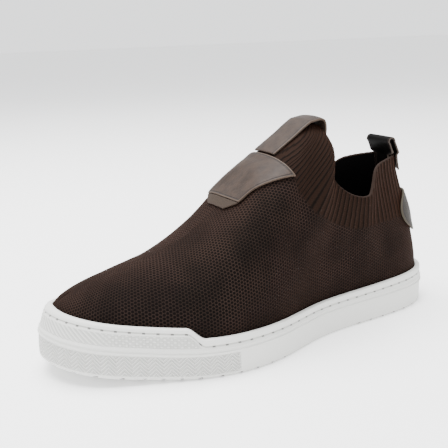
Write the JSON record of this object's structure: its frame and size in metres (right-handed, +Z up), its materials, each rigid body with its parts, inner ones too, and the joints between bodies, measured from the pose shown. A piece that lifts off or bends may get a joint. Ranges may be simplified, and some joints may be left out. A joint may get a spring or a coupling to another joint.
{
  "type": "slip-on knit sneaker",
  "caption": "Low slip-on sneaker with a sock-like knitted upper, ribbed collar, leather instep saddle, pull loops at tongue and heel, and a flat rubber cupsole.",
  "frame": {"origin": "On the floor under the middle of the shoe's outer box.", "axes": "+Z is up. The toe points towards -Y and the heel towards +Y. +X is the outer side of this left shoe."},
  "size_m": [0.1111, 0.3021, 0.15],
  "materials": {
    "sole_rubber": "matte off-white moulded rubber",
    "lining_textile": "black textile footbed cover",
    "knit_textile": "grey-brown open knit, matte",
    "saddle_leather": "smooth taupe leather with a soft sheen",
    "loop_leather": "smooth dark brown leather",
    "patch_leather": "smooth pale taupe leather"
  },
  "bodies": {
    "root": {"cupsole": "sole_rubber", "insole": "lining_textile", "upper": "knit_textile", "instep_saddle": "saddle_leather", "saddle_strip": "saddle_leather", "tongue_loop": "saddle_leather", "heel_loop": "loop_leather", "heel_patch": "patch_leather"}
  },
  "joints": []
}
